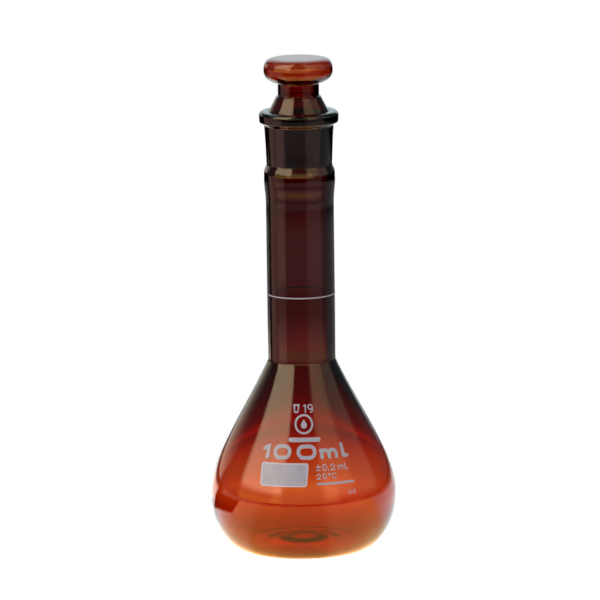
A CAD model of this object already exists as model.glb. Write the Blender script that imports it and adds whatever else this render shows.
"""Looks of an amber 100 mL volumetric flask with a hollow ground-glass stopper.

The flask's glass and its stopper are turned here as fine closed meshes with true wall thickness,
so that light bends and darkens in them as it does in blown glass. The enamel marks are the CAD's
own solids. Outlines are (radius, height) points in millimetres; the scene is in metres.
"""

from math import atan2, cos, hypot, pi, radians, sin, tan

import bpy
from mathutils import Matrix, Vector


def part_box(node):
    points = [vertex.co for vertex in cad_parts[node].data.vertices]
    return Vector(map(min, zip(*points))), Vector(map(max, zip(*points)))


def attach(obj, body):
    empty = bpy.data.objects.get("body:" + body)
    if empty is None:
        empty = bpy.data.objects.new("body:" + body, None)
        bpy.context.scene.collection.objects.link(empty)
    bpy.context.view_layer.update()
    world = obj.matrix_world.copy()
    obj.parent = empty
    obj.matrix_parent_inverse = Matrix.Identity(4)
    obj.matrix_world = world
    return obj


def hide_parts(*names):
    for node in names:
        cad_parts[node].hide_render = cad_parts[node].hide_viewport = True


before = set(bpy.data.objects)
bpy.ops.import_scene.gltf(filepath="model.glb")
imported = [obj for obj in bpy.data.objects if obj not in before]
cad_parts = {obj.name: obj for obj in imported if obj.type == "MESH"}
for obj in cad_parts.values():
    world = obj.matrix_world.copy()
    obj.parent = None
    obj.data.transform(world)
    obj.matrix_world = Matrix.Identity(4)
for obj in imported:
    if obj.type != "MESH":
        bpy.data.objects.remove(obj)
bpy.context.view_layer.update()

MM = 0.001

# Glass outlines, the same as the CAD's. Pulls are the lengths of the curves' handles.
FOOT_R, FOOT_INNER_R = 17.34, 14.5
PUNT_HEIGHT, PIP_R, PIP_HEIGHT = 1.4, 5.2, 2.2
PIP_HANDLES = (0.5, 0.7)  # as shares of the pip's radius
BULB_Z = 17.43
HEEL_PULLS, SHOULDER_PULLS, SHOULDER_ANGLE = (6.57, 9.16), (12.25, 17.04), radians(24.46)
NECK_R, NECK_Z, NECK_TOP_Z = 10.67, 60.38, 109.4
WELD_R = 11.17
BULB_WALL, SHOULDER_WALL, NECK_WALL, WELD_WALL = 0.52, 2.05, 1.76, 1.75
FLOOR, FLOOR_CENTRE_Z, FLOOR_EDGE_R = 0.8, 3.1, 16.0
INNER_SHOULDER_PULLS = (13.5, 15.3)
JOINT_R, JOINT_LENGTH, TAPER, JOINT_GAP = 9.4, 17.0, 1 / 20, 0.03
WAIST_R, WAIST_Z, WAIST_HANDLES = 10.28, 122.5, ((WELD_R, 120.3), (10.85, 121.3))
FLANGE_R, FLANGE_UNDER, FLANGE_ROOT = 12.55, (12.38, 135.9), (10.93, 135.0)
CONE_TOP, STEM_R, STEM_FOOT_Z = (6.98, 143.9), 6.45, 144.25
HEAD_UNDER_Z, HEAD_R_Z, HEAD_FLAT_R = 148.04, 151.94, 7.17
HEAD_UNDER_HANDLES, HEAD_TOP_HANDLES = (0.32, 0.86), (3.2, 1.53)  # outwards, and from the face
STOPPER_END_WALL, STOPPER_GROUND_WALL, STEM_WALL, HEAD_WALL = 1.6, 1.2, 1.15, 0.55
CAVITY_CONE_DROP = 0.5  # from the rim down to the widest part of the stopper's hollow

# Radii of the rounded corners
NECK_FILLET, WAIST_FILLET = 2.0, 0.4
FLANGE_ROOT_FILLET, FLANGE_UNDER_FILLET, FLANGE_FILLET = 0.4, 0.5, 1.25
MOUTH_FILLET, JOINT_END_FILLET = 0.4, 0.6
STOPPER_END_FILLET, CONE_EDGE_FILLET, STEM_FILLET = 1.6, 0.25, 0.3
CAVITY_END_FILLET, CAVITY_CONE_FILLET, CAVITY_STEM_FILLET, CAVITY_HEAD_FILLET = 1.5, 2.0, 1.5, 0.6

# Places read from the frame
BULB_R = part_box("flask_body")[1].x / MM
WELD_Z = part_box("flask_body")[1].z / MM
RIM_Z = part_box("ground_socket")[1].z / MM
STOPPER_END_Z, HEAD_TOP_Z = (corner.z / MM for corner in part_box("stopper"))
HEAD_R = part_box("stopper")[1].x / MM
RING_Z = sum(corner.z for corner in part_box("graduation_ring")) / 2 / MM

# How the outlines become meshes
SAME_POINT = 1e-6  # points closer than this are one point
FINE_STEP = 0.1  # an outline is measured at this spacing before it is thinned out
SEGMENTS = 224  # round the axis


# ---- Outlines ----

def bezier(p0, p1, p2, p3, steps=48):
    """Points along a cubic Bezier curve."""
    points = []
    for i in range(steps + 1):
        t = i / steps
        weights = ((1 - t) ** 3, 3 * t * (1 - t) ** 2, 3 * t * t * (1 - t), t ** 3)
        points.append(tuple(sum(w * p[k] for w, p in zip(weights, (p0, p1, p2, p3))) for k in (0, 1)))
    return points


def gap(a, b):
    """The distance between two points."""
    return hypot(b[0] - a[0], b[1] - a[1])


def heading(a, b):
    """The direction from one point to another."""
    return atan2(b[1] - a[1], b[0] - a[0])


def turn_between(first, second):
    """The angle between two headings, from 0 to a half turn."""
    return abs((second - first + pi) % (2 * pi) - pi)


def joined(*stretches):
    """One list of points from several stretches that meet end to end."""
    path = [stretches[0][0]]
    for stretch in stretches:
        path += [p for p in stretch if gap(path[-1], p) > SAME_POINT]
    return path


def walk(path, start, direction, distance):
    """The point at a distance along the path from one of its points, and the next index."""
    i = start
    while True:
        a, b = path[i], path[i + direction]
        step = gap(a, b)
        if step >= distance:
            share = distance / step
            return (a[0] + (b[0] - a[0]) * share, a[1] + (b[1] - a[1]) * share), i + direction
        distance -= step
        i += direction


def rounded(path, corners, steps=10):
    """The path with the points nearest to the given corners rounded by the given radii."""
    for corner, radius in corners:
        i = min(range(len(path)), key=lambda k: gap(path[k], corner))
        before, at, after = path[i - 1], path[i], path[i + 1]
        turn = turn_between(heading(before, at), heading(at, after))
        reach = radius * tan(turn / 2)
        start, low = walk(path, i, -1, reach)
        end, high = walk(path, i, 1, reach)
        pull = 4 / 3 * tan(turn / 4) * radius / reach
        handles = [tuple(p[k] + (at[k] - p[k]) * pull for k in (0, 1)) for p in (start, end)]
        path = path[:low + 1] + bezier(start, handles[0], handles[1], end, steps) + path[high:]
    return path


def spaced(path, longest=1.0, widest_turn=radians(2.5)):
    """The path resampled: close together where it bends, further apart where it is straight."""
    fine = [path[0]]
    for a, b in zip(path, path[1:]):
        count = max(1, round(gap(a, b) / FINE_STEP))
        fine += [(a[0] + (b[0] - a[0]) * i / count, a[1] + (b[1] - a[1]) * i / count)
                 for i in range(1, count + 1)]
    kept, travelled, turned_by, last_heading = [fine[0]], 0.0, 0.0, None
    for a, b in zip(fine, fine[1:]):
        travelled += gap(a, b)
        new_heading = heading(a, b)
        if last_heading is not None:
            turned_by += turn_between(last_heading, new_heading)
        last_heading = new_heading
        if travelled >= longest or turned_by >= widest_turn:
            kept.append(b)
            travelled = turned_by = 0.0
    if kept[-1] != fine[-1]:
        kept.append(fine[-1])
    return kept


def bulb_outline(foot, widest, neck, shoulder_pulls):
    """A bulb wall from the foot, over the widest point, to the neck corner."""
    heel_out, heel_down = (pull * widest[0] / BULB_R for pull in HEEL_PULLS)
    shoulder_up, shoulder_down = shoulder_pulls
    heel = bezier(foot, (foot[0] + heel_out, foot[1]), (widest[0], widest[1] - heel_down), widest)
    handle = (neck[0] + shoulder_down * sin(SHOULDER_ANGLE), neck[1] - shoulder_down * cos(SHOULDER_ANGLE))
    return joined(heel, bezier(widest, (widest[0], widest[1] + shoulder_up), handle, neck))


def weld_outline(low_r, high_r):
    """The neck's swelling, upwards."""
    middle = (NECK_TOP_Z + WELD_Z) / 2
    return bezier((low_r, NECK_TOP_Z), (low_r, middle), (high_r, middle), (high_r, WELD_Z))


def taper_r(z):
    """Radius of the ground joint at a height."""
    return JOINT_R - (RIM_Z - z) * TAPER


def flask_outside():
    """The flask's wall from the middle of its base, up the outside and over the rim to the mouth."""
    pip_top, pip_edge = (0, PIP_HEIGHT), (PIP_R, PUNT_HEIGHT)
    handles = [PIP_R * share for share in PIP_HANDLES]
    pip = bezier(pip_top, (handles[0], PIP_HEIGHT), (handles[1], PUNT_HEIGHT), pip_edge)
    pull = (FOOT_INNER_R - PIP_R) / 2
    punt = bezier(pip_edge, (PIP_R + pull, PUNT_HEIGHT), (FOOT_INNER_R - pull, 0), (FOOT_INNER_R, 0))
    return joined(
        pip, punt, [(FOOT_R, 0)],
        bulb_outline((FOOT_R, 0), (BULB_R, BULB_Z), (NECK_R, NECK_Z), SHOULDER_PULLS),
        weld_outline(NECK_R, WELD_R),
        bezier((WELD_R, WELD_Z), *WAIST_HANDLES, (WAIST_R, WAIST_Z)),
        [FLANGE_ROOT, FLANGE_UNDER, (FLANGE_R, RIM_Z), (JOINT_R, RIM_Z)],
    )


def flask_outline():
    """Bulb, neck and socket as one wall: up the outside, over the rim and down the inside."""
    bore, weld_bore = NECK_R - NECK_WALL, WELD_R - WELD_WALL
    corner_z = NECK_Z + (NECK_WALL * cos(SHOULDER_ANGLE) - SHOULDER_WALL) / sin(SHOULDER_ANGLE)
    joint_end = (taper_r(RIM_Z - JOINT_LENGTH), RIM_Z - JOINT_LENGTH)
    bore_z = (WELD_Z + joint_end[1]) / 2
    narrowing = bezier(joint_end, (joint_end[0], bore_z), (weld_bore, bore_z), (weld_bore, WELD_Z))
    floor_edge, floor_bend = (FLOOR_EDGE_R, FLOOR), FLOOR_EDGE_R / 2
    floor = bezier(floor_edge, (floor_bend, FLOOR), (floor_bend, FLOOR_CENTRE_Z), (0, FLOOR_CENTRE_Z))
    widest = (BULB_R - BULB_WALL, BULB_Z + BULB_WALL / 4)
    inside = bulb_outline(floor_edge, widest, (bore, corner_z), INNER_SHOULDER_PULLS)
    path = joined(flask_outside(), narrowing, weld_outline(bore, weld_bore)[::-1], inside[::-1], floor)
    corners = [
        ((NECK_R, NECK_Z), NECK_FILLET),
        ((WAIST_R, WAIST_Z), WAIST_FILLET),
        (FLANGE_ROOT, FLANGE_ROOT_FILLET),
        (FLANGE_UNDER, FLANGE_UNDER_FILLET),
        ((FLANGE_R, RIM_Z), FLANGE_FILLET),
        ((JOINT_R, RIM_Z), MOUTH_FILLET),
        (joint_end, JOINT_END_FILLET),
        ((bore, corner_z), NECK_FILLET + NECK_WALL),
    ]
    return spaced(rounded(path, corners))


def head_outline(under_r, inset):
    """The stopper's head from its underside, round its rim, to the middle of its top.

    The inset is 0 for the outside and the wall's thickness for the hollow.
    """
    under_z, top_z = HEAD_UNDER_Z + inset, HEAD_TOP_Z - inset
    side, flat_r = (HEAD_R - inset, HEAD_R_Z), HEAD_FLAT_R - inset / 2
    under_out, under_up = HEAD_UNDER_HANDLES
    top_out, top_down = HEAD_TOP_HANDLES
    lower = bezier((under_r, under_z), (under_r + under_out, under_z), (side[0], under_z + under_up), side)
    side_handle, top_handle = (side[0], top_z - top_down + inset / 3), (flat_r + top_out - inset / 2, top_z)
    upper = bezier(side, side_handle, top_handle, (flat_r, top_z))
    return joined(lower, upper, [(0, top_z)])


def stopper_outline():
    """Outside of the stopper, from the middle of its end to the middle of its top."""
    end, cone_edge = (taper_r(STOPPER_END_Z) - JOINT_GAP, STOPPER_END_Z), (JOINT_R - JOINT_GAP, RIM_Z)
    stem_foot = (STEM_R, STEM_FOOT_Z)
    path = joined([(0, STOPPER_END_Z), end, cone_edge, CONE_TOP, stem_foot], head_outline(STEM_R, 0))
    corners = [
        (end, STOPPER_END_FILLET),
        (cone_edge, CONE_EDGE_FILLET),
        (CONE_TOP, STEM_FILLET),
        (stem_foot, STEM_FILLET),
        ((STEM_R, HEAD_UNDER_Z), STEM_FILLET),
    ]
    return spaced(rounded(path, corners))


def cavity_outline():
    """The air space inside the stopper, from the middle of its end to the middle of its top."""
    floor_z = STOPPER_END_Z + STOPPER_END_WALL
    low = (taper_r(floor_z) - JOINT_GAP - STOPPER_GROUND_WALL, floor_z)
    wide = (JOINT_R - JOINT_GAP - STOPPER_GROUND_WALL, RIM_Z - CAVITY_CONE_DROP)
    bore = STEM_R - STEM_WALL
    stem_foot = (bore, CONE_TOP[1])
    path = joined([(0, floor_z), low, wide, stem_foot], head_outline(bore, HEAD_WALL))
    corners = [
        (low, CAVITY_END_FILLET),
        (wide, CAVITY_CONE_FILLET),
        (stem_foot, CAVITY_STEM_FILLET),
        ((bore, HEAD_UNDER_Z + HEAD_WALL), CAVITY_HEAD_FILLET),
    ]
    return spaced(rounded(path, corners))


# ---- Meshes ----

def turned(name, outlines):
    """One object of revolution from outlines that start and end on the axis."""
    verts, faces = [], []
    for outline in outlines:
        rings = []
        for r, z in outline:
            first = len(verts)
            count = 1 if r < SAME_POINT else SEGMENTS
            for i in range(count):
                angle = 2 * pi * i / SEGMENTS
                verts.append((r * MM * cos(angle), r * MM * sin(angle), z * MM))
            rings.append(range(first, first + count))
        for low, high in zip(rings, rings[1:]):
            for i in range(SEGMENTS):
                j = (i + 1) % SEGMENTS
                quad = (low[i % len(low)], low[j % len(low)], high[j % len(high)], high[i % len(high)])
                faces.append(tuple(dict.fromkeys(quad)))
    mesh = bpy.data.meshes.new(name)
    mesh.from_pydata(verts, [], faces)
    mesh.shade_smooth()
    mesh.update()
    piece = bpy.data.objects.new(name, mesh)
    bpy.context.scene.collection.objects.link(piece)
    return piece


# ---- Shader nodes ----

def node(tree, kind, **settings):
    """A new node with its properties or input values set by name."""
    made = tree.nodes.new(kind)
    for key, value in settings.items():
        if key in made.inputs.keys():
            made.inputs[key].default_value = value
        else:
            setattr(made, key, value)
    return made


def maths(tree, operation, *values):
    """The output of a Math node; each value is a number or a socket."""
    made = node(tree, "ShaderNodeMath", operation=operation)
    for socket, value in zip(made.inputs, values):
        if isinstance(value, (int, float)):
            socket.default_value = value
        else:
            tree.links.new(value, socket)
    return made.outputs[0]


def total(tree, first, *others):
    """The sum of numbers or sockets."""
    for other in others:
        first = maths(tree, "ADD", first, other)
    return first


def product(tree, first, *others):
    """The product of numbers or sockets."""
    for other in others:
        first = maths(tree, "MULTIPLY", first, other)
    return first


def inverse(tree, mask):
    """1 where the mask is 0 and 0 where it is 1."""
    return maths(tree, "SUBTRACT", 1.0, mask)


def ramp(tree, value, low, high, out_low=0.0, out_high=1.0):
    """A smooth step of a value between two limits."""
    made = node(tree, "ShaderNodeMapRange", interpolation_type="SMOOTHSTEP")
    tree.links.new(value, made.inputs["Value"])
    for name, number in (("From Min", low), ("From Max", high), ("To Min", out_low), ("To Max", out_high)):
        made.inputs[name].default_value = number
    return made.outputs["Result"]


def fade(tree, value, low, high):
    """A mask that falls smoothly from 1 at the lower limit to 0 at the higher one."""
    return ramp(tree, value, low, high, 1, 0)


def band(tree, value, low, high, soft):
    """1 between two limits and 0 outside them, with soft edges outside the limits."""
    return product(tree, ramp(tree, value, low - soft, low), fade(tree, value, high, high + soft))


def coordinates(tree, kind):
    """A texture coordinate of the given kind."""
    return node(tree, "ShaderNodeTexCoord").outputs[kind]


def axes(tree, place):
    """The x, y and z of a place."""
    made = node(tree, "ShaderNodeSeparateXYZ")
    tree.links.new(place, made.inputs[0])
    return made.outputs


def from_axis(tree, x, y):
    """The distance from the flask's axis."""
    return maths(tree, "SQRT", total(tree, product(tree, x, x), product(tree, y, y)))


def noise(tree, place, scale, detail=3.0, stretch=(1.0, 1.0, 1.0)):
    """Noise of about 0 to 1 over the object, with a scale per metre."""
    mapping = node(tree, "ShaderNodeMapping", Scale=stretch)
    tree.links.new(place, mapping.inputs["Vector"])
    made = node(tree, "ShaderNodeTexNoise", Scale=scale, Detail=detail)
    tree.links.new(mapping.outputs[0], made.inputs["Vector"])
    return made.outputs[0]


def blended(tree, factor, low, high):
    """A blend of two colours, each of them a tuple or a socket."""
    made = node(tree, "ShaderNodeMix", data_type="RGBA")
    inputs = [socket for socket in made.inputs if socket.type == "RGBA"]
    for socket, colour in zip(inputs, (low, high)):
        if isinstance(colour, tuple):
            socket.default_value = (*colour, 1)
        else:
            tree.links.new(colour, socket)
    tree.links.new(factor, made.inputs[0])
    return next(socket for socket in made.outputs if socket.type == "RGBA")


def bumped(tree, shader, height, strength, depth):
    """Relief on a shader from a height of 0 to 1; the depth is in millimetres."""
    bump = node(tree, "ShaderNodeBump", Strength=strength, Distance=depth * MM)
    tree.links.new(height, bump.inputs["Height"])
    tree.links.new(bump.outputs[0], shader.inputs["Normal"])


def new_material(name):
    """A material with a Principled shader, its tree and that shader."""
    material = bpy.data.materials.new(name)
    material.use_nodes = True
    return material, material.node_tree, material.node_tree.nodes["Principled BSDF"]


# ---- Glass ----

ABSORPTION = (0.86, 2.9, 4.9)  # of the amber glass, per millimetre, in red, green and blue
GLASS_IOR = 1.49
POLISHED_ROUGHNESS, GROUND_ROUGHNESS_ADDED = 0.01, 0.2

# Relief of the glass: draw lines and slow waves everywhere, grit where it is ground
DRAW_LINES, WAVES, GRIT = (900.0, 2.0, (1.0, 1.0, 0.02)), (70.0, 1.0), (9000.0, 2.0)
DRAW_LINE_HEIGHT, WAVE_HEIGHT, GRIT_HEIGHT = 0.12, 0.8, 0.12
GLASS_RELIEF = (0.35, 0.1)  # strength and depth

# Soft edges of the ground surfaces in millimetres, each from where it starts to where it is full
BORE_SIDE, BORE_BOTTOM, BORE_TOP = (0.25, 0.15), (0.0, 0.3), (-0.3, -0.6)
CONE_SIDE, CONE_BOTTOM, CONE_EDGE = (0.3, 0.15), (1.2, 1.5), (0.05, -0.15)


def edge(tree, value, origin, offsets):
    """A smooth step from 0 at the first offset from an origin to 1 at the second."""
    start, full = ((origin + offset) * MM for offset in offsets)
    return ramp(tree, value, start, full)


def socket_ground(tree, radius, height):
    """1 on the socket's ground bore."""
    return product(
        tree,
        edge(tree, radius, JOINT_R, BORE_SIDE),
        edge(tree, height, RIM_Z - JOINT_LENGTH, BORE_BOTTOM),
        edge(tree, height, RIM_Z, BORE_TOP),
    )


def stopper_ground(tree, radius, height):
    """1 on the stopper's ground cone."""
    above_rim = maths(tree, "SUBTRACT", height, RIM_Z * MM)
    surface = maths(tree, "MULTIPLY_ADD", above_rim, TAPER, (JOINT_R - JOINT_GAP) * MM)
    depth = maths(tree, "SUBTRACT", surface, radius)
    return product(
        tree,
        edge(tree, depth, 0.0, CONE_SIDE),
        edge(tree, height, STOPPER_END_Z, CONE_BOTTOM),
        edge(tree, height, RIM_Z, CONE_EDGE),
    )


def amber_glass(name, is_ground):
    """Clear amber glass. is_ground(tree, radius, height) is 1 where the surface is ground."""
    material, tree, shader = new_material(name)
    shader.inputs["Base Color"].default_value = (1, 1, 1, 1)
    shader.inputs["Transmission Weight"].default_value = 1.0
    shader.inputs["IOR"].default_value = GLASS_IOR
    densest = max(ABSORPTION)
    tint = [1 - a / densest for a in ABSORPTION]
    volume = node(tree, "ShaderNodeVolumeAbsorption", Color=(*tint, 1), Density=densest / MM)
    tree.links.new(volume.outputs[0], tree.nodes["Material Output"].inputs["Volume"])
    place = coordinates(tree, "Object")
    x, y, z = axes(tree, place)
    ground = is_ground(tree, from_axis(tree, x, y), z)
    roughness = maths(tree, "MULTIPLY_ADD", ground, GROUND_ROUGHNESS_ADDED, POLISHED_ROUGHNESS)
    tree.links.new(roughness, shader.inputs["Roughness"])
    height = total(
        tree,
        product(tree, noise(tree, place, *DRAW_LINES), DRAW_LINE_HEIGHT),
        product(tree, noise(tree, place, *WAVES), WAVE_HEIGHT),
        product(tree, noise(tree, place, *GRIT), ground, GRIT_HEIGHT),
    )
    bumped(tree, shader, height, *GLASS_RELIEF)
    return material


# ---- Enamel ----

ENAMEL_THIN, ENAMEL_FULL, ENAMEL_EDGE = (0.225, 0.208, 0.238), (0.252, 0.234, 0.266), (0.34, 0.32, 0.35)
PATCH_SCALE, PATCH_SHARE, GRAIN_SCALE, GRAIN_DETAIL = 420.0, 0.7, 3500.0, 2.0
FULL_COVER = (0.35, 0.62)  # noise at which the enamel is thin and at which it is full
ENAMEL_ROUGHNESS = (0.3, 0.7, 0.32, 0.52)  # two levels of the grain, and the roughness at each
ENAMEL_RELIEF = (0.25, 0.02)  # strength and depth
PANEL_WIDTH, PANEL_TURN, PANEL_EDGE = 15.0, radians(-13.3), 0.45
PANEL_EDGE_FULL = 0.6  # share of the edge's width where its colour is full


def enamel(name, border=None):
    """Fired white enamel: satin, slightly lilac, with thin patches and a grainy surface.

    border(tree, place) is 1 where the enamel is thickest.
    """
    material, tree, shader = new_material(name)
    place = coordinates(tree, "Object")
    patches = noise(tree, place, PATCH_SCALE)
    grain = noise(tree, place, GRAIN_SCALE, GRAIN_DETAIL)
    mixed = total(tree, product(tree, patches, PATCH_SHARE), product(tree, grain, 1 - PATCH_SHARE))
    tone = blended(tree, ramp(tree, mixed, *FULL_COVER), ENAMEL_THIN, ENAMEL_FULL)
    if border:
        tone = blended(tree, border(tree, place), tone, ENAMEL_EDGE)
    tree.links.new(tone, shader.inputs["Base Color"])
    tree.links.new(ramp(tree, grain, *ENAMEL_ROUGHNESS), shader.inputs["Roughness"])
    bumped(tree, shader, grain, *ENAMEL_RELIEF)
    return material


def panel_border(tree, place):
    """1 along the border of the writing panel, where the enamel is thickest."""
    turned_place = node(tree, "ShaderNodeMapping", Rotation=(0, 0, -PANEL_TURN))
    tree.links.new(place, turned_place.inputs["Vector"])
    x, _, z = axes(tree, turned_place.outputs[0])
    low, high = (corner.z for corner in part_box("writing_panel"))
    across = maths(tree, "SUBTRACT", PANEL_WIDTH / 2 * MM, maths(tree, "ABSOLUTE", x))
    from_middle = maths(tree, "SUBTRACT", z, (low + high) / 2)
    up = maths(tree, "SUBTRACT", (high - low) / 2, maths(tree, "ABSOLUTE", from_middle))
    return edge(tree, maths(tree, "MINIMUM", across, up), 0.0, (PANEL_EDGE, PANEL_EDGE_FULL * PANEL_EDGE))


# ---- Pieces ----

GLASS_NODES = ("flask_body", "ground_socket", "stopper")

flask_glass = turned("flask_glass", [flask_outline()])
flask_glass.data.materials.append(amber_glass("amber_glass", socket_ground))
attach(flask_glass, "flask")
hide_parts("flask_body", "ground_socket")

stopper_glass = turned("stopper_glass", [stopper_outline(), cavity_outline()[::-1]])
stopper_glass.data.materials.append(amber_glass("stopper_amber_glass", stopper_ground))
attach(stopper_glass, "stopper")
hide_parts("stopper")

print_enamel = enamel("white_enamel")
panel_enamel = enamel("panel_enamel", panel_border)
for name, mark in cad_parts.items():
    if name not in GLASS_NODES:
        mark.data.materials.clear()
        mark.data.materials.append(panel_enamel if name == "writing_panel" else print_enamel)


# ---- Studio ----

# The camera sees plain white. All other rays see lit windows in the world and patches of light on
# the table. Azimuths are taken from straight behind the flask or from the camera's side of it, and
# grow towards the camera's right.

WHITE, TEAL = (1.0, 1.0, 1.0), (0.8, 1.1, 1.15)
WARM_WHITE, AMBER_GLOW = (1.0, 0.82, 0.6), (1.0, 0.42, 0.03)
AMBIENT = 0.09

# The world's windows: strength, colour, then left, right, bottom, top and softness in degrees
BACK_WINDOWS = [
    (0.95, (0.82, 1.0, 1.03), (-22, 22, -90, 60, 6)),  # backdrop
    (0.50, WHITE, (-76, -50, 40, 78, 10)),  # high at the left
]
FRONT_WINDOWS = [
    (4.3, (1.0, 0.79, 0.49), (-84, -33, 16, 78, 9)),  # main softbox, at the left
    (1.6, (1.0, 0.7, 0.12), (-84, -33, -12, 3, 9)),  # low strip under it
    (1.5, (1.0, 0.75, 0.42), (32, 62, 12, 78, 12)),  # softbox at the right
    (0.5, (1.0, 1.0, 0.7), (74, 100, 8, 78, 10)),  # weaker one, further round
    (1.3, (1.0, 0.70, 0.20), (-36, 40, -12, 18, 10)),  # low, round the camera
]

# The glow between the slanted edge of a dark card at the left and the backdrop, in degrees
CARD_SLANT, CARD_EDGE, CARD_GLOW_END, CARD_GLOW_TOP = 1.07, (-49, -43), (-28, -20), (0, 22)
CARD_GLOW = 1.1

# The table's patches by azimuth: left, right and softness in degrees
BACK_STRIP, BESIDE_CARD = (-14, 14, 8), (-62, -24, 6)
CARD, FRONT_GAP, LEFT_FAR, RIGHT_FAR = (-128, -84, 3), (-18, 18, 12), (-112, -58, 12), (28, 70, 12)

# The table's patches by distance from the flask's axis, in metres: where each steps up or down
CLOSE, NEAR, NEAR_FRONT, TABLE_END = (0.09, 0.125), (0.20, 0.36), (0.25, 0.38), (0.60, 0.68)
CARD_START, CARD_NEAR = (0.060, 0.070), (0.22, 0.30)
GLOW_START, GLOW_END = (0.075, 0.11), (0.28, 0.42)
STRIP_START, STRIP_DROP, STRIP_LEVELS = (0.27, 0.32), (0.345, 0.41), (1.95, 0.80)
BEHIND_STEM = (0.757, 0.808, 0.01)
DIM_RING, DIMMING = (0.43, 0.45, 0.06), 0.45
FRONT_GAP_DIMMING = 0.2
HALF_EDGE = 0.02  # softness of the line between the table's back and front halves

TABLE_SIZE, TABLE_DROP = 6.0, 0.0002


def degree_band(tree, azimuth, left, right, soft):
    """1 between two angles and 0 outside them, with soft edges, all given in degrees."""
    return band(tree, azimuth, radians(left), radians(right), radians(soft))


def degree_ramp(tree, angle, limits):
    """A smooth step from 0 to 1 between two angles in degrees."""
    return ramp(tree, angle, *(radians(limit) for limit in limits))


def window(tree, azimuth, elevation, left, right, low, high, soft):
    """1 in a soft-edged window of azimuth and elevation, given in degrees."""
    across = degree_band(tree, azimuth, left, right, soft)
    return product(tree, across, degree_band(tree, elevation, low, high, soft))


def azimuths(tree, x, y):
    """The azimuths of a direction or place, from straight behind and from the camera's side."""
    return maths(tree, "ARCTAN2", x, y), maths(tree, "ARCTAN2", x, product(tree, y, -1.0))


def light_of(tree, lights):
    """The sum of lights, each of them a strength, a colour and a mask, or None for everywhere."""
    summed = None
    for strength, colour, mask in lights:
        light = node(tree, "ShaderNodeVectorMath", operation="SCALE")
        light.inputs[0].default_value = [strength * c for c in colour]
        light.inputs["Scale"].default_value = 1.0
        if mask is not None:
            tree.links.new(mask, light.inputs["Scale"])
        if summed is None:
            summed = light.outputs[0]
        else:
            added = node(tree, "ShaderNodeVectorMath", operation="ADD")
            tree.links.new(summed, added.inputs[0])
            tree.links.new(light.outputs[0], added.inputs[1])
            summed = added.outputs[0]
    return summed


def white_to_camera(tree, kind, light, output):
    """Plain white to the camera, and the light to the rays that come from the glass and enamel.

    Diffuse rays get the light in grey, so that its tints don't colour the enamel.
    """
    rays = node(tree, "ShaderNodeLightPath")
    grey = node(tree, "ShaderNodeRGBToBW")
    tree.links.new(light, grey.inputs[0])
    colour = blended(tree, rays.outputs["Is Diffuse Ray"], light, grey.outputs[0])
    studio = node(tree, kind, Strength=1.0)
    tree.links.new(colour, studio.inputs["Color"])
    plain = node(tree, kind, Color=(1, 1, 1, 1), Strength=1.0)
    mix = node(tree, "ShaderNodeMixShader")
    tree.links.new(rays.outputs["Is Camera Ray"], mix.inputs[0])
    tree.links.new(studio.outputs[0], mix.inputs[1])
    tree.links.new(plain.outputs[0], mix.inputs[2])
    tree.links.new(mix.outputs[0], output)


def studio_world():
    """The room: a backdrop, softboxes at both sides, low light in front and a dark card's edge."""
    world = bpy.data.worlds.new("studio")
    world.use_nodes = True
    tree = world.node_tree
    tree.nodes.clear()
    x, y, z = axes(tree, coordinates(tree, "Generated"))
    from_back, from_front = azimuths(tree, x, y)
    elevation = maths(tree, "ARCSINE", z)
    slanted = maths(tree, "MULTIPLY_ADD", elevation, CARD_SLANT, from_back)
    card_glow = product(
        tree,
        degree_ramp(tree, slanted, CARD_EDGE),
        inverse(tree, degree_ramp(tree, from_back, CARD_GLOW_END)),
        inverse(tree, degree_ramp(tree, elevation, CARD_GLOW_TOP)),
    )
    lights = [(AMBIENT, TEAL, None), (CARD_GLOW, WARM_WHITE, card_glow)]
    for azimuth, windows in ((from_back, BACK_WINDOWS), (from_front, FRONT_WINDOWS)):
        lights += [(strength, colour, window(tree, azimuth, elevation, *limits))
                   for strength, colour, limits in windows]
    output = node(tree, "ShaderNodeOutputWorld")
    white_to_camera(tree, "ShaderNodeBackground", light_of(tree, lights), output.inputs[0])
    world.cycles.sampling_method = "NONE"
    bpy.context.scene.world = world


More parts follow.
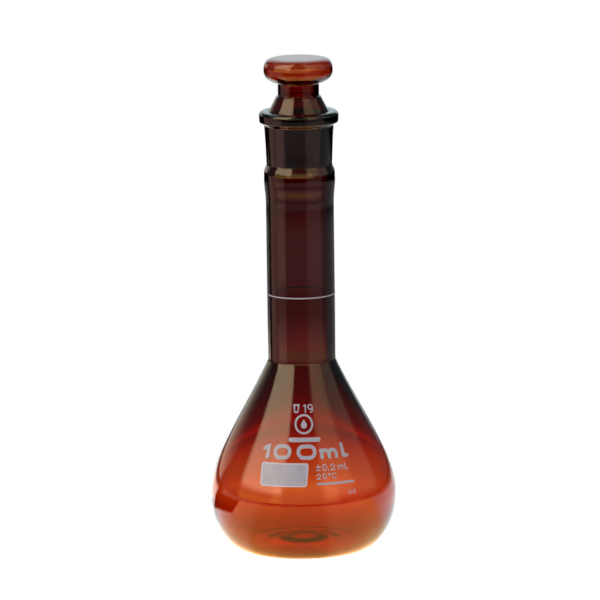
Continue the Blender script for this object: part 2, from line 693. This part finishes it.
def table_lights(tree):
    """The table's patches of light, each of them a strength, a colour and a mask."""
    x, y, _ = axes(tree, coordinates(tree, "Object"))
    from_back, from_front = azimuths(tree, x, y)
    distance = from_axis(tree, x, y)

    card = product(tree, degree_band(tree, from_front, *CARD), ramp(tree, distance, *CARD_START))
    off_card = inverse(tree, card)
    back_half = ramp(tree, y, -HALF_EDGE, HALF_EDGE)
    behind = product(tree, back_half, off_card)
    before = product(tree, inverse(tree, back_half), off_card, fade(tree, distance, *NEAR_FRONT))

    strip = product(tree, behind, degree_band(tree, from_back, *BACK_STRIP))
    strip_levels = product(
        tree, ramp(tree, distance, *STRIP_START), ramp(tree, distance, *STRIP_DROP, *STRIP_LEVELS))
    card_glow = product(
        tree, behind, degree_band(tree, from_back, *BESIDE_CARD),
        ramp(tree, distance, *GLOW_START), fade(tree, distance, *GLOW_END))
    front_gap = degree_band(tree, from_front, *FRONT_GAP)
    front_glow = product(tree, maths(tree, "MULTIPLY_ADD", front_gap, -FRONT_GAP_DIMMING, 1.0), before)
    near_card = product(tree, card, fade(tree, distance, *CARD_NEAR))
    left_far = product(tree, degree_band(tree, from_front, *LEFT_FAR), inverse(tree, near_card))
    right_far = degree_band(tree, from_front, *RIGHT_FAR)

    # A dimmer ring, in front of the flask only
    dim = maths(tree, "MULTIPLY_ADD", band(tree, distance, *DIM_RING), -DIMMING, 1.0)
    dim = maths(tree, "MAXIMUM", dim, ramp(tree, y, 0, HALF_EDGE))

    return [
        (0.25, WHITE, product(tree, dim, off_card, fade(tree, distance, *TABLE_END))),
        (0.65, WHITE, product(tree, strip, strip_levels)),
        (1.4, WHITE, product(tree, strip, band(tree, distance, *BEHIND_STEM))),
        (0.9, WHITE, product(tree, behind, fade(tree, distance, *NEAR))),
        (0.35, WHITE, product(tree, behind, fade(tree, distance, *CLOSE))),
        (1.0, WARM_WHITE, card_glow),
        (2.4, AMBER_GLOW, front_glow),
        (0.8, (1.0, 0.55, 0.45), product(tree, dim, left_far)),
        (0.35, (1.0, 0.7, 0.6), product(tree, dim, right_far)),
    ]


def studio_floor():
    """A pale table top that glows in patches, as if lit, with the shadow of the card at the left."""
    bpy.ops.mesh.primitive_plane_add(size=TABLE_SIZE, location=(0, 0, -TABLE_DROP))
    floor = bpy.context.object
    floor.name = "floor"
    material, tree, shader = new_material("table_top")
    tree.nodes.remove(shader)
    surface = tree.nodes["Material Output"].inputs["Surface"]
    white_to_camera(tree, "ShaderNodeEmission", light_of(tree, table_lights(tree)), surface)
    material.cycles.emission_sampling = "NONE"
    floor.data.materials.append(material)


CAMERA_DISTANCE, CAMERA_ELEVATION, CAMERA_LEAN = 1.884, radians(10.4), radians(-0.75)
CAMERA_AIM = (-0.35, 0, RING_Z - 2.39)  # in millimetres
CAMERA_LENS, CAMERA_SENSOR, CAMERA_CLIP_START = 360.0, 36.0, 0.05


def camera():
    """A long lens, a little above the flask, leaning less than a degree."""
    data = bpy.data.cameras.new("camera")
    data.lens, data.sensor_width = CAMERA_LENS, CAMERA_SENSOR
    data.clip_start = CAMERA_CLIP_START
    made = bpy.data.objects.new("camera", data)
    back = Vector((0, -cos(CAMERA_ELEVATION), sin(CAMERA_ELEVATION)))
    turn = back.to_track_quat("Z", "Y").to_matrix() @ Matrix.Rotation(CAMERA_LEAN, 3, "Z")
    place = Vector(CAMERA_AIM) * MM + back * CAMERA_DISTANCE
    made.matrix_world = Matrix.Translation(place) @ turn.to_4x4()
    bpy.context.scene.collection.objects.link(made)
    bpy.context.scene.camera = made


studio_world()
studio_floor()
camera()

LIGHT_BOUNCES, GLOSSY_BOUNCES = 24, 12  # enough for the nested walls of flask and stopper
scene = bpy.context.scene
scene.view_settings.view_transform = "Standard"
scene.cycles.max_bounces = LIGHT_BOUNCES
scene.cycles.transmission_bounces = LIGHT_BOUNCES
scene.cycles.glossy_bounces = GLOSSY_BOUNCES
